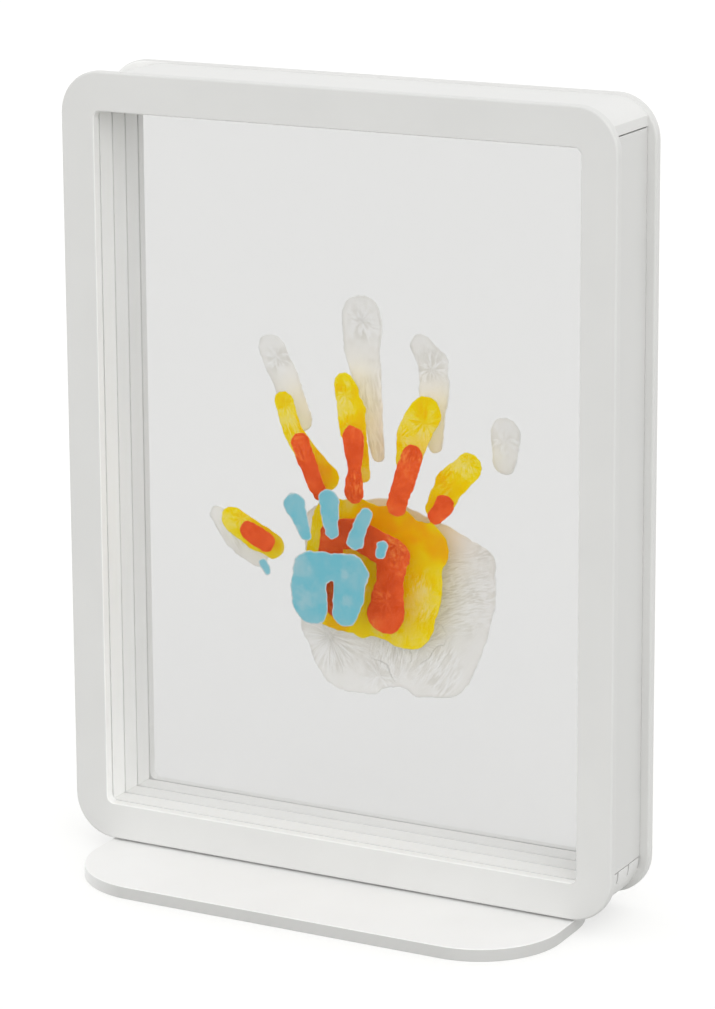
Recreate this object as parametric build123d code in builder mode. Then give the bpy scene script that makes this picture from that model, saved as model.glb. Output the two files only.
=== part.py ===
"""Stand-up handprint frame: two window rings on a grooved carcass, four clear plates, a side cover and a foot.

Millimetres, +Z up. The origin is the centre of the base plate's underside. The front faces -Y, and the side
that opens, where the plates slide in and out, faces +X.
"""

import os

from build123d import *

os.makedirs("parts", exist_ok=True)

# Front and rear bezels: flat rings with a round-cornered outline and a window
FRAME_WIDTH = 250.0
FRAME_HEIGHT = 329.0
BEZEL_THICKNESS = 4.2
BEZEL_STILE = 15.5
BEZEL_HEAD = 16.5
BEZEL_SILL = 15.5
BEZEL_CORNER = 18.0
WINDOW_CORNER = 3.0
BEZEL_EDGE = 1.0
WINDOW_EDGE = 0.6

# Carcass between the bezels: a bottom, a left and a top rail, set back from the bezels' outline
CARCASS_DEPTH = 33.0
SIDE_RECESS = 4.0
TOP_RECESS = 0.8
CARCASS_CORNER = 18.0
CARCASS_TOP_CORNER = 24.0
CORNER_JOINT_DROP = 4.2
RAIL_END_RISE = 1.7
SEAM_EDGE = 0.4

# Clear plates and the grooves that they slide in
PLATE_THICKNESS = 1.0
PLATE_CORNER = 1.0
PLATE_GAP = 0.2
PLATE_TOP_GAP = 0.6
GROOVE_DEPTH = 3.0
PAINT_THICKNESS = 0.2

# Side cover between the bezels, on the side that opens
COVER_THICKNESS = 8.0
COVER_GAP = 0.3
COVER_SIDE_GAP = 0.12
COVER_TOP_GAP = 0.6
COVER_LAP = 3.7
COVER_EDGE = 0.2

# Base plate, which the frame stands on flush with its rear edge, and its shadow gap under the bezels
BASE_LENGTH = 216.0
BASE_DEPTH = 88.5
BASE_THICKNESS = 5.2
BASE_CORNER = 36.0
BASE_EDGE = 0.4
SHADOW_GAP = 0.8

# Countersunk screws from below through the base plate into the bottom rail
SCREW_COUNT = 3
SCREW_PITCH = 70.0
SCREW_LENGTH = 14.0
SCREW_TIP = 1.5
SHANK_RADIUS = 1.75
HEAD_RADIUS = 3.4
HEAD_RECESS = 0.2
DRIVE_LENGTH = 3.0
DRIVE_WIDTH = 0.8
DRIVE_DEPTH = 1.0
SCREW_CLEARANCE = 0.15
PILOT_CLEARANCE = 0.05

# Glued dowels: bezels to rails, and the left rail to the rails above and below it
DOWEL_RADIUS = 2.0
DOWEL_IN_BEZEL = 2.4
DOWEL_IN_RAIL = 7.5
LONG_RAIL_DOWEL_COUNT = 4
LONG_RAIL_MARGIN = 26.5
LEFT_RAIL_DOWEL_COUNT = 3
LEFT_RAIL_MARGIN = 42.5
CORNER_DOWEL_RADIUS = 2.5
CORNER_DOWEL_IN_RAIL = 8.0
CORNER_DOWEL_INSET = 7.0
GLUE_GAP = 0.05
DOWEL_END_GAP = 0.1

# Handprints, from the front plate to the rear one. A finger is a chain of circles (x, height above the bezels'
# lower edge, radius) with a taut outline round each two neighbours. A palm is a chain too, or a fan of
# circles round its middle.
BABY_FINGERS = [
    [(-20, 156, 4.8), (-15, 144, 2.7)],
    [(-4, 159, 4.5), (-3, 146.5, 3.3)],
    [(13, 155.5, 2.8), (8, 144, 4.0)],
    [(20.5, 143, 2.6), (19.5, 139.5, 1.9)],
    [(-35, 129, 1.6), (-33, 126, 1.8)],
]
BABY_PALM = [
    (-12, 114, 7.4),
    (-13.5, 120, 8.3),
    (-13, 128.5, 8.2),
    (-3.5, 132, 5.3),
    (6, 130, 7.8),
    (5, 121, 7.3),
    (3, 113, 6.0),
]
TODDLER_FINGERS = [
    [(-22.5, 179, 4.8), (-14, 159, 3.4)],
    [(2, 184, 4.8), (2.5, 170, 3.1), (2.5, 161.5, 4.5)],
    [(29, 179, 4.7), (21.5, 157.5, 4.5)],
    [(43.5, 160.5, 4.2), (39.5, 155.5, 3.3)],
    [(-47, 139, 4.4), (-39.5, 135, 4.2)],
]
TODDLER_PALM = [
    (-7, 112, 5.1),
    (-9.5, 127.5, 5.6),
    (-8, 141.5, 5.8),
    (3, 143.5, 6.5),
    (20, 136.5, 7.4),
    (18.5, 125, 6.4),
    (16.5, 111.5, 8.1),
]
CHILD_FINGERS = [
    [(-35.5, 193, 4.4), (-31.5, 181, 4.6), (-24.5, 170.5, 5.3), (-16, 163, 5.8)],
    [(-7, 203, 5.0), (-4.5, 192.5, 6.5), (-2, 178, 5.5), (0.5, 166.5, 4.1)],
    [(29.5, 194.5, 7.3), (24, 185, 7.3), (21.5, 171, 5.0)],
    [(49.5, 175, 5.6), (40.5, 165.5, 6.8), (34, 154, 4.7)],
    [(-60.5, 139.5, 5.7), (-50, 134, 6.4), (-42.5, 131, 5.9)],
]
CHILD_PALM = [
    (-14.5, 146.5, 7.3),
    (0.5, 148, 6.6),
    (16, 142.5, 8.4),
    (30.5, 137.5, 8.6),
    (28, 118.5, 8.4),
    (23, 104, 9.6),
    (0.5, 104.5, 7.9),
    (-15, 106.5, 7.3),
    (-18.5, 130, 7.3),
]
CHILD_PALM_MIDDLE = (3, 122, 8.0)
ADULT_FINGERS = [
    [(-46.5, 212.5, 6.1), (-40.5, 201, 6.6), (-33, 184, 5.6)],
    [(-4, 230, 9.1), (-4, 217.5, 8.6), (-0.5, 199, 5.8), (3.5, 172, 2.6)],
    [(23.5, 220, 5.0), (29, 213.5, 6.9), (29, 200, 6.6), (29.5, 179.5, 3.3)],
    [(61, 187.5, 6.8), (61, 176, 5.4)],
    [(-73.5, 138.5, 3.8), (-64.5, 130.5, 6.9), (-55, 123.5, 5.6)],
]
ADULT_PALM = [
    (-21.5, 139, 9.8),
    (6.5, 144.5, 10.2),
    (31.5, 138, 8.6),
    (47, 131, 9.7),
    (48.5, 115.5, 8.3),
    (42.5, 95, 8.4),
    (35, 81.5, 8.2),
    (25, 79, 7.2),
    (-1.5, 80, 10.7),
    (-17, 84.5, 10.1),
    (-27, 95, 6.4),
    (-21.5, 115.5, 9.8),
]
ADULT_PALM_MIDDLE = (10, 108, 20.0)
HAND_PRINTS = {
    "blue": (BABY_FINGERS, BABY_PALM, None),
    "red": (TODDLER_FINGERS, TODDLER_PALM, None),
    "yellow": (CHILD_FINGERS, CHILD_PALM, CHILD_PALM_MIDDLE),
    "white": (ADULT_FINGERS, ADULT_PALM, ADULT_PALM_MIDDLE),
}


def row(count, pitch):
    """Places at an even pitch, centred on zero."""
    return [(i - (count - 1) / 2) * pitch for i in range(count)]


# Levels and lines that several pieces share. Heights in the frame count from the bezels' lower edge.
frame_z = BASE_THICKNESS + SHADOW_GAP
frame_y = BASE_DEPTH / 2 - CARCASS_DEPTH / 2 - BEZEL_THICKNESS
window_half = FRAME_WIDTH / 2 - BEZEL_STILE
window_top = FRAME_HEIGHT - BEZEL_HEAD
window_width = 2 * window_half
window_height = window_top - BEZEL_SILL
carcass_half = FRAME_WIDTH / 2 - SIDE_RECESS
joint_y = CARCASS_DEPTH / 2
rail_end_top = BEZEL_SILL + RAIL_END_RISE
groove_width = PLATE_THICKNESS + 2 * PLATE_GAP
groove_left = -window_half - GROOVE_DEPTH
groove_floor = BEZEL_SILL - GROOVE_DEPTH
groove_roof = window_top + GROOVE_DEPTH
plate_count = len(HAND_PRINTS)
plate_pitch = (CARCASS_DEPTH - groove_width) / (plate_count - 1)
plate_ys = row(plate_count, plate_pitch)
cover_inner = carcass_half - COVER_THICKNESS
cover_top = window_top + COVER_LAP
rail_top = FRAME_HEIGHT - TOP_RECESS
left_rail_top = rail_top - CARCASS_TOP_CORNER - CORNER_JOINT_DROP

# Sketch planes seen from the front, with their origin on the frame's centre line at the bezels' lower edge
middle = Plane(origin=(0, frame_y, frame_z), x_dir=(1, 0, 0), z_dir=(0, -1, 0))
front_joint = middle.offset(joint_y)
rear_joint = middle.offset(-joint_y)

# Dowel places: a line along the middle of the solid part of each rail for the bezels, and places between the
# grooves, clear of the round lower corner, for the left rail's two joints
left_rail_x = (groove_left - carcass_half) / 2
bottom_dowel_z = (groove_floor - SHADOW_GAP) / 2
top_dowel_z = (groove_roof + rail_top) / 2
left_middle_z = (BEZEL_SILL + left_rail_top) / 2
long_pitch = 2 * (carcass_half - LONG_RAIL_MARGIN) / (LONG_RAIL_DOWEL_COUNT - 1)
left_pitch = (left_rail_top - BEZEL_SILL - 2 * LEFT_RAIL_MARGIN) / (LEFT_RAIL_DOWEL_COUNT - 1)
bottom_dowels = [(x, bottom_dowel_z) for x in row(LONG_RAIL_DOWEL_COUNT, long_pitch)]
top_dowels = [(x, top_dowel_z) for x in row(LONG_RAIL_DOWEL_COUNT, long_pitch)]
left_dowels = [(left_rail_x, left_middle_z + z) for z in row(LEFT_RAIL_DOWEL_COUNT, left_pitch)]
bezel_dowels = bottom_dowels + top_dowels + left_dowels
corner_dowels_xy = [(CORNER_DOWEL_INSET - carcass_half, frame_y + y) for y in row(2, 2 * plate_pitch)]
screw_points = [(x, frame_y) for x in row(SCREW_COUNT, SCREW_PITCH)]


def drill_for_dowels(points):
    """Blind holes in a rail's front and rear faces for the bezels' dowels."""
    for joint, depth in ((front_joint, -DOWEL_IN_RAIL), (rear_joint, DOWEL_IN_RAIL)):
        with BuildSketch(joint) as holes:
            with Locations(*points):
                Circle(DOWEL_RADIUS + GLUE_GAP)
        extrude(holes.sketch, amount=depth, mode=Mode.SUBTRACT)


def drill_for_corner_dowels(height):
    """Blind holes above and below a joint of the left rail, in whichever rail is being made."""
    with BuildSketch(Plane.XY.offset(frame_z + height)) as holes:
        with Locations(*corner_dowels_xy):
            Circle(CORNER_DOWEL_RADIUS + GLUE_GAP)
    extrude(holes.sketch, amount=CORNER_DOWEL_IN_RAIL, both=True, mode=Mode.SUBTRACT)


def cut_grooves(left, right, low, high):
    """One groove for each plate, over the given stretch of width and height."""
    with Locations(*[((left + right) / 2, frame_y + y, frame_z + (low + high) / 2) for y in plate_ys]):
        Box(right - left, groove_width, high - low, mode=Mode.SUBTRACT)


# Base plate: a round-cornered board with countersunk holes in a row under the bottom rail
with BuildPart() as base_plate:
    with BuildSketch():
        RectangleRounded(BASE_LENGTH, BASE_DEPTH, BASE_CORNER)
    extrude(amount=BASE_THICKNESS)
    fillet(base_plate.edges().group_by(Axis.Z)[-1], BASE_EDGE)
    chamfer(base_plate.edges().group_by(Axis.Z)[0], BASE_EDGE / 2)
    with Locations(*[Plane(origin=(x, y, 0), z_dir=(0, 0, -1)) for x, y in screw_points]):
        CounterSinkHole(
            SHANK_RADIUS + SCREW_CLEARANCE,
            HEAD_RADIUS + HEAD_RECESS + SCREW_CLEARANCE,
            counter_sink_angle=90,
        )
base_plate.part.label = "base_plate"
export_step(base_plate.part, "parts/base_plate.step")

# Bottom rail: stands on the base plate, has round lower corners, and holds the plates' lower edges in grooves
# that run out through its right end. That end rises a little to carry the side cover.
with BuildPart() as bottom_rail:
    with BuildSketch(middle):
        with Locations((0, -SHADOW_GAP)):
            Rectangle(2 * carcass_half, FRAME_HEIGHT, align=(Align.CENTER, Align.MIN))
        fillet(vertices().group_by(Axis.Y)[0], CARCASS_CORNER)
        with Locations((0, -SHADOW_GAP)):
            Rectangle(
                2 * carcass_half,
                rail_end_top + SHADOW_GAP,
                align=(Align.CENTER, Align.MIN),
                mode=Mode.INTERSECT,
            )
    extrude(amount=CARCASS_DEPTH / 2, both=True)
    with BuildSketch(middle):
        with Locations((cover_inner, BEZEL_SILL)):
            Rectangle(cover_inner + carcass_half, RAIL_END_RISE, align=(Align.MAX, Align.MIN))
    extrude(amount=CARCASS_DEPTH / 2, both=True, mode=Mode.SUBTRACT)
    cut_grooves(groove_left, carcass_half, groove_floor, rail_end_top)
    drill_for_dowels(bottom_dowels)
    drill_for_corner_dowels(BEZEL_SILL)
    with BuildSketch(Plane.XY.offset(BASE_THICKNESS)):
        with Locations(*screw_points):
            Circle(SHANK_RADIUS + PILOT_CLEARANCE)
    extrude(amount=SCREW_LENGTH - BASE_THICKNESS + HEAD_RECESS + DOWEL_END_GAP, mode=Mode.SUBTRACT)
bottom_rail.part.label = "bottom_rail"
export_step(bottom_rail.part, "parts/bottom_rail.step")

# Base screws: countersunk heads with a cross drive, plain shanks and short points
with BuildPart() as one_screw:
    with BuildSketch(Plane.XZ):
        with BuildLine():
            Polyline(
                (0, HEAD_RECESS),
                (HEAD_RADIUS, HEAD_RECESS),
                (SHANK_RADIUS, HEAD_RECESS + HEAD_RADIUS - SHANK_RADIUS),
                (SHANK_RADIUS, HEAD_RECESS + SCREW_LENGTH - SCREW_TIP),
                (0, HEAD_RECESS + SCREW_LENGTH),
                close=True,
            )
        make_face()
    revolve(axis=Axis.Z)
    for turn in (0, 90):
        with BuildSketch(Plane.XY.offset(HEAD_RECESS)):
            Rectangle(DRIVE_LENGTH, DRIVE_WIDTH, rotation=turn)
        extrude(amount=DRIVE_DEPTH, mode=Mode.SUBTRACT)
with BuildPart() as base_screws:
    with Locations(*screw_points):
        add(one_screw.part)
base_screws.part.label = "base_screws"
export_step(base_screws.part, "parts/base_screws.step")

# Left rail: the closed side wall between the bottom and top rails, with a groove for each plate's left edge and a
# broken inner arris at its foot
with BuildPart() as left_rail:
    with BuildSketch(middle):
        with Locations((-carcass_half, BEZEL_SILL)):
            Rectangle(carcass_half - window_half, left_rail_top - BEZEL_SILL, align=(Align.MIN, Align.MIN))
    extrude(amount=CARCASS_DEPTH / 2, both=True)
    chamfer(left_rail.edges().filter_by(Axis.Y).group_by(Axis.Z)[0].sort_by(Axis.X)[-1], SEAM_EDGE)
    cut_grooves(groove_left, -window_half, BEZEL_SILL, left_rail_top)
    drill_for_dowels(left_dowels)
    drill_for_corner_dowels(BEZEL_SILL)
    drill_for_corner_dowels(left_rail_top)
left_rail.part.label = "left_rail"
export_step(left_rail.part, "parts/left_rail.step")

# Top rail: turns down at the left in a wide round corner to meet the left rail, follows the bezels' round corner at
# the right until it is cut straight there, and is rebated at that end for the side cover
with BuildPart() as top_rail:
    with BuildSketch(middle):
        with Locations((-carcass_half, left_rail_top)):
            Rectangle(
                carcass_half + FRAME_WIDTH / 2 - TOP_RECESS,
                rail_top - left_rail_top,
                align=(Align.MIN, Align.MIN),
            )
        fillet(vertices().group_by(Axis.Y)[-1].sort_by(Axis.X)[0], CARCASS_TOP_CORNER)
        fillet(vertices().group_by(Axis.Y)[-1].sort_by(Axis.X)[-1], BEZEL_CORNER - TOP_RECESS)
        with Locations((-window_half, left_rail_top)):
            Rectangle(
                FRAME_WIDTH, window_top - left_rail_top, align=(Align.MIN, Align.MIN), mode=Mode.SUBTRACT
            )
        with Locations((carcass_half, left_rail_top)):
            Rectangle(FRAME_WIDTH, FRAME_HEIGHT, align=(Align.MIN, Align.MIN), mode=Mode.SUBTRACT)
        with Locations((cover_inner - PLATE_GAP, window_top)):
            Rectangle(
                COVER_THICKNESS + PLATE_GAP,
                COVER_LAP + COVER_TOP_GAP,
                align=(Align.MIN, Align.MIN),
                mode=Mode.SUBTRACT,
            )
    extrude(amount=CARCASS_DEPTH / 2, both=True)
    cut_grooves(groove_left, carcass_half, window_top, groove_roof)
    cut_grooves(groove_left, -window_half, left_rail_top, window_top)
    drill_for_dowels(top_dowels)
    drill_for_corner_dowels(left_rail_top)
top_rail.part.label = "top_rail"
export_step(top_rail.part, "parts/top_rail.step")

# Corner dowels: two in each joint of the left rail
with BuildPart() as corner_dowels:
    for joint_height in (BEZEL_SILL, left_rail_top):
        with BuildSketch(Plane.XY.offset(frame_z + joint_height)):
            with Locations(*corner_dowels_xy):
                Circle(CORNER_DOWEL_RADIUS)
        extrude(amount=CORNER_DOWEL_IN_RAIL - DOWEL_END_GAP, both=True)
corner_dowels.part.label = "corner_dowels"
export_step(corner_dowels.part, "parts/corner_dowels.step")

# Front bezel: the ring with its window, rounded on the edges that show, and blind holes behind for the dowels
with BuildPart() as front_bezel:
    with BuildSketch(front_joint):
        with Locations((0, FRAME_HEIGHT / 2)):
            RectangleRounded(FRAME_WIDTH, FRAME_HEIGHT, BEZEL_CORNER)
        with Locations((0, (BEZEL_SILL + window_top) / 2)):
            RectangleRounded(window_width, window_height, WINDOW_CORNER, mode=Mode.SUBTRACT)
    extrude(amount=BEZEL_THICKNESS)
    face = front_bezel.faces().sort_by(Axis.Y)[0]
    back = front_bezel.faces().sort_by(Axis.Y)[-1]
    fillet(face.outer_wire().edges() + back.outer_wire().edges(), BEZEL_EDGE)
    face = front_bezel.faces().sort_by(Axis.Y)[0]
    fillet(face.inner_wires()[0].edges(), WINDOW_EDGE)
    with BuildSketch(front_joint):
        with Locations(*bezel_dowels):
            Circle(DOWEL_RADIUS + GLUE_GAP)
    extrude(amount=DOWEL_IN_BEZEL, mode=Mode.SUBTRACT)
front_bezel.part.label = "front_bezel"
export_step(front_bezel.part, "parts/front_bezel.step")

# Front dowels: half in the front bezel's blind holes and half in the rails
with BuildPart() as front_dowels:
    with BuildSketch(front_joint.offset(DOWEL_IN_BEZEL - DOWEL_END_GAP)):
        with Locations(*bezel_dowels):
            Circle(DOWEL_RADIUS)
    extrude(amount=-(DOWEL_IN_BEZEL + DOWEL_IN_RAIL - 2 * DOWEL_END_GAP))
front_dowels.part.label = "front_dowels"
export_step(front_dowels.part, "parts/front_dowels.step")

# Rear bezel and its dowels: the front ones, mirrored to the back
with BuildPart() as rear_bezel:
    mirror(front_bezel.part, about=middle)
rear_bezel.part.label = "rear_bezel"
export_step(rear_bezel.part, "parts/rear_bezel.step")
with BuildPart() as rear_dowels:
    mirror(front_dowels.part, about=middle)
rear_dowels.part.label = "rear_dowels"
export_step(rear_dowels.part, "parts/rear_dowels.step")

# Clear plates: thin sheets that stand in the grooves, with their right edges close behind the side cover
plate_left = groove_left + PLATE_GAP
plate_right = cover_inner - PLATE_GAP
plate_low = groove_floor + PLATE_GAP
plate_high = groove_roof - PLATE_TOP_GAP
for number, plate_y in enumerate(plate_ys, start=1):
    with BuildPart() as plate:
        with BuildSketch(middle.offset(-plate_y)):
            with Locations(((plate_left + plate_right) / 2, (plate_low + plate_high) / 2)):
                RectangleRounded(plate_right - plate_left, plate_high - plate_low, PLATE_CORNER)
        extrude(amount=PLATE_THICKNESS / 2, both=True)
    plate.part.label = f"plate_{number}"
    export_step(plate.part, f"parts/plate_{number}.step")


def taut(circles):
    """The taut outline round a few circles, as a face."""
    with BuildSketch() as outline:
        for x, height, radius in circles:
            with Locations((x, height)):
                Circle(radius)
        make_hull()
    return outline.sketch


# Handprints: a film of paint on each plate's inner face, with the fingers apart from the palm
for (colour, (fingers, palm, palm_middle)), plate_y in zip(HAND_PRINTS.items(), plate_ys):
    inner_side = 1 if plate_y < plate_ys[-1] else -1
    with BuildPart() as paint:
        with BuildSketch(middle.offset(-plate_y - inner_side * PLATE_THICKNESS / 2)):
            for chain in fingers:
                for pair in zip(chain, chain[1:]):
                    add(taut(pair))
            if palm_middle:
                for pair in zip(palm, palm[1:] + palm[:1]):
                    add(taut([*pair, palm_middle]))
            else:
                for pair in zip(palm, palm[1:]):
                    add(taut(pair))
        extrude(amount=-inner_side * PAINT_THICKNESS)
    paint.part.label = f"print_{colour}"
    export_step(paint.part, f"parts/print_{colour}.step")

# Side cover: a plain strip that fills the open side between the bezels and stands on the bottom rail's end
with BuildPart() as side_cover:
    with BuildSketch(middle):
        with Locations((cover_inner, rail_end_top + COVER_GAP)):
            Rectangle(COVER_THICKNESS, cover_top - rail_end_top - COVER_GAP, align=(Align.MIN, Align.MIN))
    extrude(amount=CARCASS_DEPTH / 2 - COVER_SIDE_GAP, both=True)
    fillet(side_cover.faces().sort_by(Axis.X)[-1].edges(), COVER_EDGE)
side_cover.part.label = "side_cover"
export_step(side_cover.part, "parts/side_cover.step")
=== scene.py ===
import math

import bpy
import numpy as np
from mathutils import Matrix, Vector
from mathutils.bvhtree import BVHTree


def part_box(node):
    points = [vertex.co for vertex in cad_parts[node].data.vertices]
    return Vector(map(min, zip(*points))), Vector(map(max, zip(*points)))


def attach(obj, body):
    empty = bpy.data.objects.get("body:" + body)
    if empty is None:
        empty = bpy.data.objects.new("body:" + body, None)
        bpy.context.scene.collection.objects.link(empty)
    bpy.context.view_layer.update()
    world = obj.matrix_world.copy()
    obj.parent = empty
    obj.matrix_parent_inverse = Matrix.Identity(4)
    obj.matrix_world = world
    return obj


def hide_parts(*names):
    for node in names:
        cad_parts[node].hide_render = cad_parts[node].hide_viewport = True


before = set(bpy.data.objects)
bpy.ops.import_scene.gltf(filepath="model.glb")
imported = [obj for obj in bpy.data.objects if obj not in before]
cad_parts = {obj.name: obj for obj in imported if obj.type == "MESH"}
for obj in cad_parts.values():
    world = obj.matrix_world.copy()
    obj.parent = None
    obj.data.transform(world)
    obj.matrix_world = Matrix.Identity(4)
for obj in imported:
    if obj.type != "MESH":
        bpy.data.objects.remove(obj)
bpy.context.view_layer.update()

# Foot plate
# A 5 mm board of MDF with round corners, routed to shape, sanded and sprayed white. The frame stands on it,
# and three screws from below hold the two together.
MM = 0.001


def linear(colour, alpha=1.0):
    """An sRGB hex colour as the linear numbers that a shader takes."""
    shares = [int(colour[i:i + 2], 16) / 255 for i in (0, 2, 4)]
    return [s / 12.92 if s <= 0.04045 else ((s + 0.055) / 1.055) ** 2.4 for s in shares] + [alpha]


def add(tree, kind, sockets=(), **settings):
    """Adds a node with its settings. A socket, by name or number, takes a value or another node's output."""
    node = tree.nodes.new("ShaderNode" + kind)
    for name, value in settings.items():
        setattr(node, name, value)
    for key, value in dict(sockets).items():
        if isinstance(value, bpy.types.NodeSocket):
            tree.links.new(value, node.inputs[key])
        else:
            node.inputs[key].default_value = value
    return node


def reckon(tree, operation, *values):
    """The result of a sum, product or comparison of one or two values."""
    return add(tree, "Math", dict(enumerate(values)), operation=operation).outputs[0]


def remap(tree, value, span, onto=(0.0, 1.0)):
    """A value carried from one span onto another and held at the ends."""
    return add(tree, "MapRange", {0: value, 1: span[0], 2: span[1], 3: onto[0], 4: onto[1]}).outputs[0]


def blend(tree, share, first, second):
    """A colour between two others, which are hex colours or outputs of nodes."""
    ends = [linear(colour) if isinstance(colour, str) else colour for colour in (first, second)]
    return add(tree, "Mix", {0: share, 6: ends[0], 7: ends[1]}, data_type="RGBA").outputs[2]


def noise(tree, place, size, detail):
    """Smooth noise with lumps of about that size."""
    return add(tree, "TexNoise", {"Vector": place, "Scale": 1 / size, "Detail": detail}).outputs["Fac"]


def new_finish(name):
    """An empty node material."""
    finish = bpy.data.materials.new(name)
    finish.use_nodes = True
    finish.node_tree.nodes.clear()
    return finish


def dress(node, finish):
    """Gives a CAD node its finish."""
    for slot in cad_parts[node].material_slots:
        slot.material = finish


# Satin polyurethane lacquer, sprayed in two coats on sealed MDF: an even, slightly warm white with a soft
# sheen. It keeps the faint dimples of the spray gun, and the sheen is a little uneven with the coat.
ORANGE_PEEL = 1.6 * MM
ORANGE_PEEL_DEPTH = 0.006 * MM
COAT_CLOUD = 35 * MM
CLOUD_SPAN = 0.3, 0.7
CLOUD_TONE = 0.97, 1.0
CLOUD_ROUGHNESS = 0.36, 0.46
LACQUER_IOR = 1.5


def lacquer(name, white, other_white=None, where=None):
    """The lacquer in one white, and in another where a mask built by the given function is 1."""
    finish = new_finish(name)
    tree = finish.node_tree
    place = add(tree, "TexCoord")
    dimples = noise(tree, place.outputs["Object"], ORANGE_PEEL, 2.0)
    cloud_and_corner_light = noise(tree, place.outputs["Object"], COAT_CLOUD, 3.0)
    ground = blend(tree, where(tree, place), white, other_white) if where else linear(white)[:3]
    cloud = remap(tree, cloud_and_corner_light, CLOUD_SPAN, CLOUD_TONE)
    tone = add(tree, "VectorMath", {0: ground, 3: cloud}, operation="SCALE")
    relief = add(tree, "Bump", {"Height": dimples, "Distance": ORANGE_PEEL_DEPTH})
    skin = add(tree, "BsdfPrincipled", {
        "Base Color": tone.outputs[0],
        "Roughness": remap(tree, cloud_and_corner_light, CLOUD_SPAN, CLOUD_ROUGHNESS),
        "IOR": LACQUER_IOR,
        "Normal": relief.outputs[0],
    })
    add(tree, "OutputMaterial", {"Surface": skin.outputs[0]})
    return finish


UPRIGHT_BELOW = 0.5
LEFT_END_SPAN = -0.75, -0.1


def painted_shade_on_edge(tree, place):
    """1 on faces that stand upright, which are painted greyer as painted shade.

    It fades out toward the left end, where less shade is painted.
    """
    facing = add(tree, "SeparateXYZ", {0: place.outputs["Normal"]}).outputs
    upright = reckon(tree, "LESS_THAN", facing["Z"], UPRIGHT_BELOW)
    return reckon(tree, "MULTIPLY", upright, remap(tree, facing["X"], LEFT_END_SPAN))


# The foot's white is lighter than the other parts', as painted light on its top, and its upright faces take
# a greyer white as painted shade, less of it toward the left end.
dress("base_plate", lacquer("satin_lacquer_on_mdf_board", "F8F8F7", "CDCDCB", painted_shade_on_edge))

# Foot screws
# Three countersunk wood screws, turned from steel wire and zinc plated. They come up through the foot into
# the bottom rail, so only their heads show, from below.
TOOL_MARK = 0.4 * MM
PLATING_ROUGHNESS = 0.25, 0.45
# Zinc gives a bright bluish grey, duller in the fine marks that the tool left.
zinc = new_finish("zinc_plated_steel_turned")
tree = zinc.node_tree
marks = noise(tree, add(tree, "TexCoord").outputs["Object"], TOOL_MARK, 4.0)
plating = add(tree, "BsdfPrincipled", {
    "Base Color": blend(tree, marks, "B4B6B8", "D2D3D2"),
    "Metallic": 1.0,
    "Roughness": remap(tree, marks, (0, 1), PLATING_ROUGHNESS),
})
add(tree, "OutputMaterial", {"Surface": plating.outputs[0]})
dress("base_screws", zinc)

# Carcass
# Three MDF rails with four grooves each, sprayed like the foot, that meet at two corners on dowels. The
# right side stays open, so that the plates can be drawn out.
INNER_SIDE, INNER_LOW, INNER_HIGH = 111 * MM, 20 * MM, 320 * MM


def painted_light_in_window(tree, place):
    """1 on the faces around the window, which are painted whiter as painted light."""
    at = add(tree, "SeparateXYZ", {0: place.outputs["Object"]}).outputs
    within = reckon(tree, "LESS_THAN", reckon(tree, "ABSOLUTE", at["X"]), INNER_SIDE)
    above = reckon(tree, "GREATER_THAN", at["Z"], INNER_LOW)
    below = reckon(tree, "LESS_THAN", at["Z"], INNER_HIGH)
    return reckon(tree, "MULTIPLY", within, reckon(tree, "MULTIPLY", above, below))


# The rails take a darker white than the foot, as painted shade on their lit top, and a whiter one around the
# window, as painted light on the shaded inner walls.
carcass_lacquer = lacquer("satin_lacquer_on_mdf_rail", "E3E3E1", "FAFAF8", painted_light_in_window)
for rail in ("bottom_rail", "left_rail", "top_rail"):
    dress(rail, carcass_lacquer)

# Dowels
# Plain beech pins, turned and glued into blind holes. Nothing of them shows on a closed frame.
# Beech has a fine straight grain with short darker flecks along it.
GRAIN_WIDTH = 0.5 * MM
FLECK_LENGTH = 5 * MM
PORE_DEPTH = 0.03 * MM
BARE_WOOD_ROUGHNESS = 0.62
beech = new_finish("beech_turned")
tree = beech.node_tree
place = add(tree, "TexCoord").outputs["Object"]
along = add(tree, "Mapping", {"Vector": place, "Scale": (1.0, GRAIN_WIDTH / FLECK_LENGTH, 1.0)})
flecks = noise(tree, along.outputs[0], GRAIN_WIDTH, 3.0)
pores = add(tree, "Bump", {"Height": flecks, "Distance": PORE_DEPTH})
wood = add(tree, "BsdfPrincipled", {
    "Base Color": blend(tree, flecks, "B98C5E", "DDBB8F"),
    "Roughness": BARE_WOOD_ROUGHNESS,
    "Normal": pores.outputs[0],
})
add(tree, "OutputMaterial", {"Surface": wood.outputs[0]})
for dowels in ("corner_dowels", "front_dowels", "rear_dowels"):
    dress(dowels, beech)

# Window rings
# A front and a rear ring, each routed from one 4 mm board of MDF, sprayed like the foot and glued with
# dowels to the carcass. The edges are only broken with sandpaper. The front ring's lower rail is bare.
CORNER_SPAN = -92 * MM, -110 * MM
REAR_RING_FROM = 30 * MM
CORNER_LIGHT = 0.85
FLAT_FACE = 0.75


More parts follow.
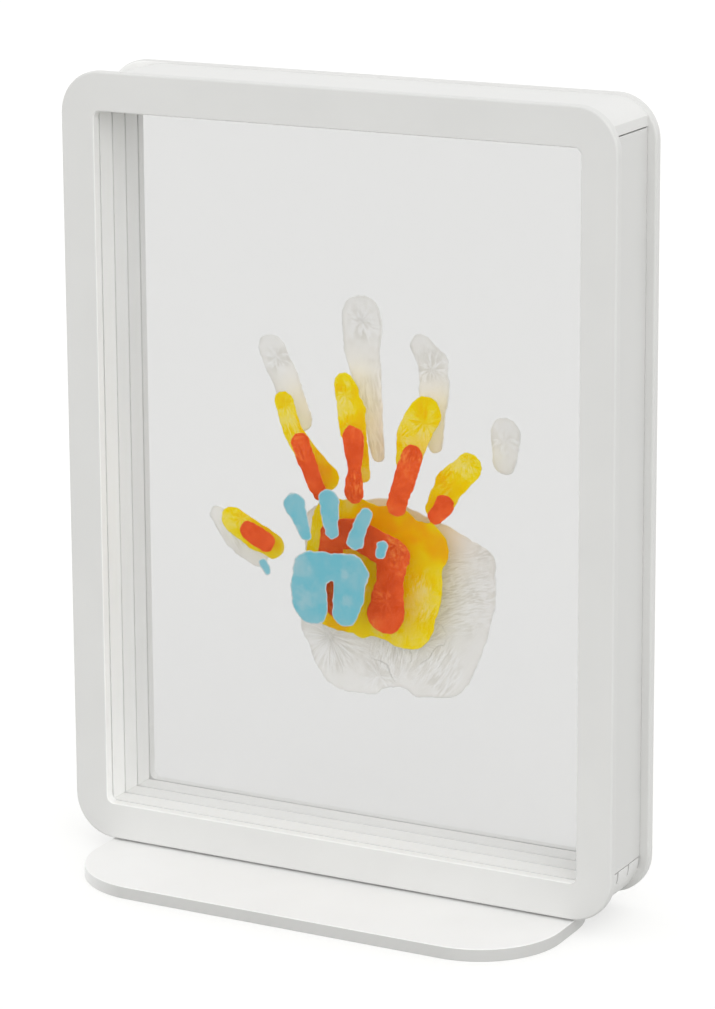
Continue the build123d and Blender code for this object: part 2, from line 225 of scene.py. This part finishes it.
def painted_light_on_rings(tree, place):
    """1 on the rings' window edges, painted whiter as a painted highlight, and a little less on the rear
    ring's front face at its left end, as painted light.
    """
    at = add(tree, "SeparateXYZ", {0: place.outputs["Object"]}).outputs
    facing = add(tree, "SeparateXYZ", {0: place.outputs["Normal"]}).outputs
    edge = reckon(tree, "LESS_THAN", reckon(tree, "ABSOLUTE", facing["Y"]), FLAT_FACE)
    window = reckon(tree, "MULTIPLY", edge, painted_light_in_window(tree, place))
    behind = reckon(tree, "GREATER_THAN", at["Y"], REAR_RING_FROM)
    forward = reckon(tree, "LESS_THAN", facing["Y"], -FLAT_FACE)
    cloud_and_corner_light = remap(tree, at["X"], CORNER_SPAN, (0, CORNER_LIGHT))
    corner = reckon(tree, "MULTIPLY", cloud_and_corner_light, reckon(tree, "MULTIPLY", behind, forward))
    return reckon(tree, "MAXIMUM", window, corner)


# The rings take a darker white than the foot, as painted shade on their front faces, and the whiter one
# where the mask paints light.
ring_lacquer = lacquer("satin_lacquer_on_routed_mdf", "DBDBD9", "F5F5F3", painted_light_on_rings)
for ring in ("front_bezel", "rear_bezel"):
    dress(ring, ring_lacquer)

# Clear plates
# Four sheets of 1 mm cast acrylic, sawn to size, that slide in the grooves. The faces are as cast, with a
# coat that keeps reflections down. The sawn edges are matt and scatter the light.
SAWN_BELOW = 0.5
SAWN_ROUGHNESS = 0.35
ACRYLIC_IOR = 1.49
acrylic = new_finish("cast_acrylic_sawn")
tree = acrylic.node_tree
facing = add(tree, "SeparateXYZ", {0: add(tree, "TexCoord").outputs["Normal"]}).outputs
sawn = reckon(tree, "LESS_THAN", reckon(tree, "ABSOLUTE", facing["Y"]), SAWN_BELOW)
sheet = add(tree, "BsdfPrincipled", {
    "Base Color": linear("F6F6F6"),
    "Roughness": reckon(tree, "MULTIPLY", sawn, SAWN_ROUGHNESS),
    "IOR": ACRYLIC_IOR,
    "Specular Tint": linear("181818"),
    "Transmission Weight": 1.0,
})
# Light for the paint behind comes straight through the sheet.
ray = add(tree, "LightPath").outputs
straight = reckon(tree, "MAXIMUM", ray["Is Shadow Ray"], ray["Is Diffuse Ray"])
clear = add(tree, "BsdfTransparent", {"Color": linear("FFFFFF")})
mixed = add(tree, "MixShader", {0: straight, 1: sheet.outputs[0], 2: clear.outputs[0]})
add(tree, "OutputMaterial", {"Surface": mixed.outputs[0]})
for plate in ("plate_1", "plate_2", "plate_3", "plate_4"):
    dress(plate, acrylic)

# Blue print
# A newborn's hand in finger paint on the back of the front plate, seen through it. The paint lies thin along
# its outline and in a few patches where the skin stuck, and there it turns pale.


def depth_inside(node, x, z):
    """How deep each point lies inside the outline of a print's CAD film, in mm, and below 0 outside it."""
    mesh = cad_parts[node].data
    points = [v.co / MM for v in mesh.vertices]
    walls = BVHTree.FromPolygons(points, [p.vertices for p in mesh.polygons if abs(p.normal.y) < 0.5])
    faces = BVHTree.FromPolygons(points, [p.vertices for p in mesh.polygons if p.normal.y > 0.5])
    low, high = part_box(node)
    middle = (low.y + high.y) / 2 / MM
    start = Vector((0, -50, 0))
    depth = np.empty(x.shape)
    for spot in np.ndindex(x.shape):
        point = Vector((x[spot], middle, z[spot]))
        inside = faces.ray_cast(point + start, Vector((0, 1, 0)))[0] is not None
        gap = walls.find_nearest(point)[3]
        depth[spot] = gap if inside else -gap
    return depth


def rise(low, high, value):
    """0 below low, 1 above high, and a smooth step between. Falls instead where low is above high."""
    share = np.clip((value - low) / (high - low), 0, 1)
    return share * share * (3 - 2 * share)


NOISE_TABLE = 64


def mottle(x, z, size, seed):
    """Smooth seeded noise from -1 to 1 with lumps of about that size, in millimetres."""
    table = np.random.default_rng(seed).uniform(-1, 1, (NOISE_TABLE, NOISE_TABLE))
    u, v = x / size, z / size
    i, j = np.floor(u).astype(int), np.floor(v).astype(int)
    s, t = rise(0, 1, u - i), rise(0, 1, v - j)
    i1, j1 = (i + 1) % NOISE_TABLE, (j + 1) % NOISE_TABLE
    i, j = i % NOISE_TABLE, j % NOISE_TABLE
    near = table[i, j] * (1 - s) + table[i1, j] * s
    far = table[i, j1] * (1 - s) + table[i1, j1] * s
    return near * (1 - t) + far * t


def lumpy(x, z, level, lumps):
    """A level made uneven by layers of noise, each with a strength, a lump size in mm and a seed."""
    for strength, size, seed in lumps:
        level = level + strength * mottle(x, z, size, seed)
    return level


# A patch of paint: how far its edge wanders and how large its full core is, as shares of its reach, and how
# many lumps of the wandering fit in the reach.
PATCH_RAGGED = 0.25
PATCH_CORE = 0.35
PATCH_LUMPS = 2.5


def patch(x, z, spot, reach, seed):
    """1 at a spot and 0 outside its reach, with a ragged edge."""
    away = np.hypot(x - spot[0], z - spot[1])
    away = away + PATCH_RAGGED * reach * mottle(x, z, reach / PATCH_LUMPS, seed)
    return rise(reach, PATCH_CORE * reach, away)


def patched(share, x, z, spots, change, seed):
    """A share of paint that changes by so much in patches, each an (x, z): reach in millimetres."""
    for number, (spot, reach) in enumerate(spots.items()):
        share = share + change * patch(x, z, spot, reach, seed + number)
    return share


# Ridges run outwards in a star and side by side in a ribbed area. STAR_TURN is the size of a star's ring in
# the pattern for each ray, STAR_HUB its bare hub as a share of its reach. The ribs' sizes are in rib widths.
STAR_TURN = 0.18
STAR_HUB = 0.08
RIB_LENGTH = 6.0
RIB_BEND, RIB_BEND_SIZE = 0.6, 6
RIDGES_APART = 10
RIB_SEED, RIB_BEND_SEED = 20, 40


def pulled(x, z, stars, ribs, seed):
    """Where paint was drawn into ridges as the hand came off, and how they run.

    Gives a mask from 0 to 1 and, for each point, a place in a pattern whose lumps are one ridge wide. A star
    is an (x, z): (reach, number of rays), and a ribbed area an (x, z): (reach, width of a rib, slope in
    degrees).
    """
    mask, run = np.zeros(x.shape), np.zeros(x.shape + (3,))
    for number, (spot, (reach, rays)) in enumerate(stars.items()):
        here = patch(x, z, spot, reach, seed + number)
        away = np.hypot(x - spot[0], z - spot[1])
        turn = np.arctan2(z - spot[1], x - spot[0])
        ring = STAR_TURN * rays
        outward = away / reach + RIDGES_APART * number
        way = np.stack([ring * np.cos(turn), ring * np.sin(turn), outward], axis=-1)
        run[here > mask] = way[here > mask]
        mask = np.maximum(mask, here * rise(0, STAR_HUB * reach, away))
    for number, (spot, (reach, width, slope)) in enumerate(ribs.items()):
        here = patch(x, z, spot, reach, seed + RIB_SEED + number)
        c, s = math.cos(math.radians(slope)), math.sin(math.radians(slope))
        along = c * (x - spot[0]) + s * (z - spot[1])
        across = c * (z - spot[1]) - s * (x - spot[0])
        bend = mottle(x, z, RIB_BEND_SIZE * width, seed + RIB_BEND_SEED + number)
        across = across + RIB_BEND * width * bend
        layer = 0 * x - RIDGES_APART * number
        way = np.stack([along / (RIB_LENGTH * width), across / width, layer], axis=-1)
        run[here > mask] = way[here > mask]
        mask = np.maximum(mask, here)
    return mask, run


# The outline, in mm: the softness of a pad's join, the waves and nicks of the edge with their sizes, and the
# bulges as a share of their size, set so far back that the outline keeps its place.
SOFT_JOIN = 1.0
WAVE, WAVE_SIZE = 0.3, 4.0
NICK, NICK_SIZE = 0.28, 1.4
BULGE, BULGE_BACK = 0.045, 0.6
GRID_MARGIN = 2
LEAST_CELL_SHARE = 0.04
FILM_EDGE = 0.05 * MM
FILM_FULL = 0.3 * MM
CONTACT_GAP = 0.03 * MM


def paint_film(name, node, body, contact, free, cell, seed, lobe, pads, film, stars, ribs):
    """A dried film of paint on a plate: the CAD film's outline made uneven, with a free face of its own.

    A pad is an (x, z): radius that stands out from the outline, or a notch in it with a radius below 0.
    """
    low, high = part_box(node)
    x, z = np.meshgrid(
        np.arange(low.x / MM - GRID_MARGIN, high.x / MM + GRID_MARGIN, cell),
        np.arange(low.z / MM - GRID_MARGIN, high.z / MM + GRID_MARGIN, cell),
        indexing="ij",
    )
    depth = depth_inside(node, x, z)
    for spot, radius in pads.items():
        away = np.hypot(x - spot[0], z - spot[1])
        sign = 1 if radius > 0 else -1
        depth = sign * SOFT_JOIN * np.logaddexp(sign * depth / SOFT_JOIN, (abs(radius) - away) / SOFT_JOIN)
    depth += BULGE * lobe * (2 * np.abs(mottle(x, z, lobe, seed + 2)) - BULGE_BACK)
    depth += WAVE * mottle(x, z, WAVE_SIZE, seed) + NICK * mottle(x, z, NICK_SIZE, seed + 1)
    depth[np.abs(depth) < LEAST_CELL_SHARE * cell] = -LEAST_CELL_SHARE * cell
    share = np.clip(film(x, z, depth), 0, 1)
    ridged, run = pulled(x, z, stars, ribs, seed + 3)
    points, shares, masks, runs, index = [], [], [], [], {}

    def corner(a, b=None):
        """The number of the point at a grid corner, or where the outline crosses from a to b."""
        key = (a,) if b is None else (min(a, b), max(a, b))
        if key not in index:
            part = 0 if b is None else depth[a] / (depth[a] - depth[b])
            b = a if b is None else b
            index[key] = len(points)
            points.append((x[a] + part * (x[b] - x[a]), z[a] + part * (z[b] - z[a])))
            shares.append(share[a] * (1 - part) + share[b] * part)
            masks.append(ridged[a])
            runs.append(run[a])
        return index[key]

    # The cells of the grid that lie inside, cut off along the outline
    inside = depth > 0
    some = inside[:-1, :-1] | inside[1:, :-1] | inside[1:, 1:] | inside[:-1, 1:]
    rings = []
    for i, j in zip(*np.nonzero(some)):
        round_cell = [(i, j), (i + 1, j), (i + 1, j + 1), (i, j + 1)]
        ring = []
        for a, b in zip(round_cell, round_cell[1:] + round_cell[:1]):
            if inside[a]:
                ring.append(corner(a))
            if inside[a] != inside[b]:
                ring.append(corner(a, b))
        rings.append(ring)

    # A flat face on the plate, the free face over it, and a wall along the sides that only one cell has
    out = 1 if free > contact else -1
    height = [FILM_EDGE + (FILM_FULL - FILM_EDGE) * s for s in shares]
    count = len(points)
    rows = [(px * MM, contact + out * CONTACT_GAP, pz * MM) for px, pz in points]
    rows += [(px * MM, contact + out * (CONTACT_GAP + h), pz * MM) for (px, pz), h in zip(points, height)]
    sides = {}
    for ring in rings:
        for a, b in zip(ring, ring[1:] + ring[:1]):
            if not sides.pop((b, a), None):
                sides[(a, b)] = True
    near = [ring if out > 0 else ring[::-1] for ring in rings]
    faces = near + [[count + p for p in reversed(ring)] for ring in near]
    for a, b in sides:
        quad = [b, a, count + a, count + b]
        faces.append(quad if out > 0 else quad[::-1])
    mesh = bpy.data.meshes.new(name)
    mesh.from_pydata(rows, [], faces)
    mesh.attributes.new("film", "FLOAT", "POINT").data.foreach_set("value", shares + shares)
    mesh.attributes.new("ridged", "FLOAT", "POINT").data.foreach_set("value", masks + masks)
    ridge_run = mesh.attributes.new("ridge_run", "FLOAT_VECTOR", "POINT")
    ridge_run.data.foreach_set("vector", np.ravel(runs + runs))
    mesh.polygons.foreach_set("use_smooth", [True] * len(faces))
    mesh.update()
    piece = bpy.data.objects.new(name, mesh)
    bpy.context.scene.collection.objects.link(piece)
    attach(piece, body)
    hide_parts(node)
    return piece


# Finger paint, a chalky water paint pressed on by hand and dried: a soft even colour with a grain of
# pigment, pale where it lies thin and deep where it lies thick, with thin lines where it was drawn out.
PIGMENT_GRIT = 0.8 * MM
GRIT_SPAN = 0.25, 0.75
RIDGE_LINE = 0.0, 0.08
BETWEEN_RIDGES = -0.4
BODY_SPAN, DEEP_SPAN = (0.05, 0.5), (0.5, 0.95)
PAINT_RELIEF = 0.1 * MM
PAINT_ROUGHNESS = 0.42
PAINT_IOR = 1.45


def paint_finish(name, thin, middle, thick, grit_share, ridge_share, shine):
    """The paint in three colours. The grit and the ridges count as so much more or less of the film."""
    finish = new_finish(name)
    tree = finish.node_tree
    film = add(tree, "Attribute", attribute_name="film").outputs["Fac"]
    ridged = add(tree, "Attribute", attribute_name="ridged").outputs["Fac"]
    run = add(tree, "Attribute", attribute_name="ridge_run").outputs["Vector"]
    grit = noise(tree, add(tree, "TexCoord").outputs["Object"], PIGMENT_GRIT, 3.0)
    uneven = remap(tree, grit, GRIT_SPAN, (-grit_share, grit_share))
    # Along the ridges the colour moves toward thin or thick paint. On the white print this is a painted
    # highlight on each ridge and painted shade between them, over the real bump.
    aside = reckon(tree, "ABSOLUTE", reckon(tree, "SUBTRACT", noise(tree, run, 1.0, 2.0), 0.5))
    ridge_tone = remap(tree, aside, RIDGE_LINE, (ridge_share, BETWEEN_RIDGES * ridge_share))
    ridge_tone = reckon(tree, "MULTIPLY", ridge_tone, ridged)
    lies = reckon(tree, "ADD", film, uneven)
    lies = add(tree, "Math", {0: lies, 1: ridge_tone}, operation="ADD", use_clamp=True).outputs[0]
    washed = blend(tree, remap(tree, lies, BODY_SPAN), thin, middle)
    grain = add(tree, "Bump", {"Height": lies, "Distance": PAINT_RELIEF})
    paint = add(tree, "BsdfPrincipled", {
        "Base Color": blend(tree, remap(tree, lies, DEEP_SPAN), washed, thick),
        "Roughness": PAINT_ROUGHNESS,
        "IOR": PAINT_IOR,
        "Specular IOR Level": shine,
        "Normal": grain.outputs[0],
    })
    add(tree, "OutputMaterial", {"Surface": paint.outputs[0]})
    return finish


BLUE_PADS = {(-14, 121): 7.0, (19, 131): -4.0}
BLUE_LEVEL = 0.82
BLUE_LUMPS = (0.14, 7, 11), (0.08, 2.5, 12)
BLUE_RIM = 0.0, 0.75
BLUE_THIN = {
    (-17, 136): 6.5, (-15, 123): 6.0, (3, 135): 3.0, (4, 124): 3.2, (-22, 167): 3.2, (-18, 152): 2.5,
}
BLUE_THINNER, BLUE_THIN_SEED = -0.3, 20


def blue_film(x, z, depth):
    """Even and smooth, thin along the outline and in the patches."""
    share = rise(*BLUE_RIM, depth) * lumpy(x, z, BLUE_LEVEL, BLUE_LUMPS)
    return patched(share, x, z, BLUE_THIN, BLUE_THINNER, BLUE_THIN_SEED)


low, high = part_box("print_blue")
blue = paint_film(
    "print_blue_film", "print_blue", "plate_1_set", low.y, high.y,
    cell=0.45, seed=10, lobe=8.0, pads=BLUE_PADS, film=blue_film, stars={}, ribs={},
)
blue.data.materials.append(paint_finish(
    "finger_paint_blue_dried", "CDD3D4", "98C3CC", "72BBCA", grit_share=0.1, ridge_share=0.0, shine=0.05,
))

# Red print
# A toddler's hand on the back of the second plate. The paint is deep and finely flecked, with short thin
# orange lines where it was pressed out at the pads.
RED_PADS = {(31, 134): -4.5}
RED_STARS = {(17, 123): (8.0, 10), (22, 147): (6.0, 9)}
RED_RIBS = {
    (28, 185): (6.0, 1.2, 70), (-22, 179): (6.0, 1.2, 110), (3, 170): (7.0, 1.2, 95),
    (21, 141): (6.0, 1.2, 80),
}
RED_LEVEL = 0.68
RED_LUMPS = (0.2, 6, 31), (0.16, 1.8, 32)
RED_RIM = -0.6, 0.25


def red_film(x, z, depth):
    """Deep and uneven in fine flecks."""
    return lumpy(x, z, RED_LEVEL, RED_LUMPS) * rise(*RED_RIM, depth)


low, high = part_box("print_red")
red = paint_film(
    "print_red_film", "print_red", "plate_2_set", low.y, high.y,
    cell=0.5, seed=30, lobe=9.0, pads=RED_PADS, film=red_film, stars=RED_STARS, ribs=RED_RIBS,
)
red.data.materials.append(paint_finish(
    "finger_paint_red_dried", "FF9A48", "F6642E", "E2501F", grit_share=0.25, ridge_share=-0.4, shine=0.05,
))

# Yellow print
# A child's hand on the back of the third plate. The pads were pulled off while the paint was wet, which left
# them paler, with fans of fine deeper lines. The thick paint on the palm dried to a deep orange yellow.
YELLOW_PADS = {
    (45, 133.5): -8.0, (7, 96): -8.0, (26.7, 156.6): -4.0, (38, 95.5): -12.0, (20, 114): 12.5,
    (28.5, 144): 11.0, (25, 124): 11.0, (16, 151): 9.0, (-1, 154): 7.5,
}
YELLOW_STARS = {
    (-35, 198): (5.5, 12), (-7, 205): (7, 12), (29, 197): (10, 16), (49, 183): (7, 11), (-56, 147): (7, 12),
    (-5, 193): (6, 10), (18, 190): (7, 11),
}
YELLOW_RIBS = {
    (28, 130): (7, 1.4, 75), (30, 116): (6, 1.4, 60), (38, 174): (9, 1.3, 40), (-16, 176): (10, 1.3, 100),
    (-30, 188): (8, 1.3, 115),
}
YELLOW_LEVEL = 0.5
YELLOW_LUMPS = (0.18, 9, 61), (0.12, 3, 62)
YELLOW_RIM = -0.6, 0.3
YELLOW_THICK = {(7, 155): 13, (24, 152): 11, (-18, 168): 9, (-12, 108): 10, (-44, 137): 7, (36, 146): 9}
YELLOW_THICKER, YELLOW_THICK_SEED = 0.38, 70
YELLOW_PALE = {
    (-34, 193): 7.0, (-8, 200): 8.0, (27, 192): 10.0, (46, 181): 7.0, (-54, 146): 6.0, (30, 124): 8.0,
}
YELLOW_PALER, YELLOW_PALE_SEED = -0.14, 90


def yellow_film(x, z, depth):
    """Uneven, pale on the pads and thick on the palm and between the pads."""
    share = lumpy(x, z, YELLOW_LEVEL, YELLOW_LUMPS)
    share = patched(share, x, z, YELLOW_THICK, YELLOW_THICKER, YELLOW_THICK_SEED)
    share = patched(share, x, z, YELLOW_PALE, YELLOW_PALER, YELLOW_PALE_SEED)
    return share * rise(*YELLOW_RIM, depth)


low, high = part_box("print_yellow")
yellow = paint_film(
    "print_yellow_film", "print_yellow", "plate_3_set", low.y, high.y,
    cell=0.5, seed=60, lobe=10.0, pads=YELLOW_PADS, film=yellow_film, stars=YELLOW_STARS, ribs=YELLOW_RIBS,
)
yellow.data.materials.append(paint_finish(
    "finger_paint_yellow_dried", "FFF08C", "FFE600", "FFBE00", grit_share=0.12, ridge_share=0.3, shine=0.05,
))

# White print
# An adult's hand on the front of the rear plate, in a greyish white. It lies with its free face to the
# front. Its ridges are painted as bright lines, a painted highlight, with painted shade between them, over
# the real relief: a star of creases at the heel and fine ribs across the ball.
WHITE_PADS = {
    (12, 70.5): -10.0, (36, 127): 20.0, (31, 95): 15.5, (-10, 93): 18.0, (-18, 108): 15.0,
}
WHITE_STARS = {
    (-20, 98): (22, 34), (23, 100): (16, 26), (-44, 215): (8, 10), (-4, 234): (10, 12), (28, 217): (9, 12),
    (61, 191): (9, 10), (3, 84): (12, 16),
}
WHITE_RIBS = {
    (9, 94): (14, 1.7, 80), (42, 128): (26, 1.3, 20), (30, 92): (16, 1.7, 60), (-66, 138): (12, 1.5, 120),
    (2, 205): (14, 1.6, 95), (6, 185): (10, 1.6, 95),
}
WHITE_LEVEL = 0.45
WHITE_LUMPS = (0.16, 9, 121), (0.12, 2.5, 122)
WHITE_RIM = -0.5, 0.4
BEAD, BEAD_INSET, BEAD_WIDTH = 0.35, 0.6, 0.4


def white_film(x, z, depth):
    """Low and uneven, with a bead along the outline."""
    bead = np.exp(-((depth - BEAD_INSET) / BEAD_WIDTH) ** 2)
    return (lumpy(x, z, WHITE_LEVEL, WHITE_LUMPS) + BEAD * bead) * rise(*WHITE_RIM, depth)


low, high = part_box("print_white")
pale = paint_film(
    "print_white_film", "print_white", "plate_4_set", high.y, low.y,
    cell=0.55, seed=120, lobe=10.0, pads=WHITE_PADS, film=white_film, stars=WHITE_STARS, ribs=WHITE_RIBS,
)
# The negative ridge share makes the ridges the whitest paint, a painted highlight, and the paint between
# them greyer, as painted shade.
pale.data.materials.append(paint_finish(
    "finger_paint_white_dried", "FFFFFE", "FAF9F6", "E8E6E0", grit_share=0.14, ridge_share=-0.7, shine=0.4,
))

# Side cover
# A plain MDF strip, sprayed like the foot, that closes the open right side. It stands loose in the carcass
# and is drawn off to the right to change a plate.
# Its white is darker than the foot's and the rings', as painted shade on this side of the frame.
dress("side_cover", lacquer("satin_lacquer_on_mdf_strip", "DADAD8"))

# Studio
# A white table top that runs back out of sight, under a soft even sky and one wide soft key light from above
# and the front right. Seen directly, the table top and the sky are plain white.
FLOOR_HALF = 15.0
FLOOR_GLOW = 0.56
PAPER_FIBRE = 2 * MM
PAPER_ROUGHNESS, PAPER_SHINE = 0.9, 0.1
corners = [(a * FLOOR_HALF, b * FLOOR_HALF, 0) for a, b in ((-1, -1), (1, -1), (1, 1), (-1, 1))]
mesh = bpy.data.meshes.new("studio_floor")
mesh.from_pydata(corners, [], [(0, 1, 2, 3)])
floor = bpy.data.objects.new("studio_floor", mesh)
bpy.context.scene.collection.objects.link(floor)


def seen_directly(tree):
    """1 for the rays that show something to the camera, straight, in a reflection or through a plate."""
    ray = add(tree, "LightPath").outputs
    seen = reckon(tree, "MAXIMUM", ray["Is Camera Ray"], ray["Is Glossy Ray"])
    return reckon(tree, "MAXIMUM", seen, ray["Is Transmission Ray"])


# Paper with a faint fibre, so matt that it takes soft shadows only.
paper = new_finish("matt_white_paper")
tree = paper.node_tree
fibre = noise(tree, add(tree, "TexCoord").outputs["Object"], PAPER_FIBRE, 2.0)
matt = add(tree, "BsdfPrincipled", {
    "Base Color": blend(tree, fibre, "B2B2B0", "B6B6B4"),
    "Roughness": PAPER_ROUGHNESS,
    "Specular IOR Level": PAPER_SHINE,
    "Emission Color": linear("FFFFFF"),
    "Emission Strength": reckon(tree, "MULTIPLY", seen_directly(tree), FLOOR_GLOW),
})
add(tree, "OutputMaterial", {"Surface": matt.outputs[0]})
mesh.materials.append(paper)

SKY_LOW, SKY_HIGH = 1.25, 0.85
world = bpy.data.worlds.new("studio_sky")
bpy.context.scene.world = world
world.use_nodes = True
tree = world.node_tree
tree.nodes.clear()
way = add(tree, "SeparateXYZ", {0: add(tree, "TexCoord").outputs["Generated"]}).outputs
light = remap(tree, way["Z"], (0, 1), (SKY_LOW, SKY_HIGH))
strength = remap(tree, seen_directly(tree), (0, 1), (light, 1.0))
sky = add(tree, "Background", {"Color": linear("FFFFFF"), "Strength": strength})
add(tree, "OutputWorld", {"Surface": sky.outputs[0]})

KEY_FROM = Vector((0.56, -0.75, 0.35))
KEY_STRENGTH = 0.8
KEY_SPREAD = math.radians(60)
key = bpy.data.lights.new("key_soft", "SUN")
key.energy = KEY_STRENGTH
key.angle = KEY_SPREAD
lamp = bpy.data.objects.new("key_soft", key)
lamp.rotation_euler = KEY_FROM.to_track_quat("Z", "Y").to_euler()
bpy.context.scene.collection.objects.link(lamp)

# Light reaches the last print through three plates and leaves again, so a ray needs more turns than usual.
RAY_TURNS = 24
scene = bpy.context.scene
scene.view_settings.view_transform = "Standard"
scene.cycles.max_bounces = RAY_TURNS
scene.cycles.transmission_bounces = RAY_TURNS
scene.cycles.transparent_max_bounces = RAY_TURNS

# Camera
# The photograph's view: from the right and a little above, far off with a long lens. The frame stands low in
# the picture with the axis above its middle, which a lens shift gives.
PICTURE_HEIGHT = 1009
FOCAL_PIXELS = 3769
AXIS_ROW = 360
SENSOR = 36
FAR_END = 100
AZIMUTH, ELEVATION, ROLL = math.radians(27.984), math.radians(12.398), math.radians(-0.331)
CAMERA_PLACE = Vector((0.70175, -1.29472, 0.54924))
view = bpy.data.cameras.new("photo_view")
view.sensor_width = SENSOR
view.lens = FOCAL_PIXELS / PICTURE_HEIGHT * SENSOR
view.shift_y = (AXIS_ROW - PICTURE_HEIGHT / 2) / PICTURE_HEIGHT
view.clip_end = FAR_END
camera = bpy.data.objects.new("photo_view", view)
back = Vector((
    math.sin(AZIMUTH) * math.cos(ELEVATION),
    -math.cos(AZIMUTH) * math.cos(ELEVATION),
    math.sin(ELEVATION),
))
right = Vector((math.cos(AZIMUTH), math.sin(AZIMUTH), 0))
up = back.cross(right)
across = right * math.cos(ROLL) + up * math.sin(ROLL)
upward = up * math.cos(ROLL) - right * math.sin(ROLL)
camera.matrix_world = Matrix.Translation(CAMERA_PLACE) @ Matrix((across, upward, back)).transposed().to_4x4()
scene.collection.objects.link(camera)
scene.camera = camera
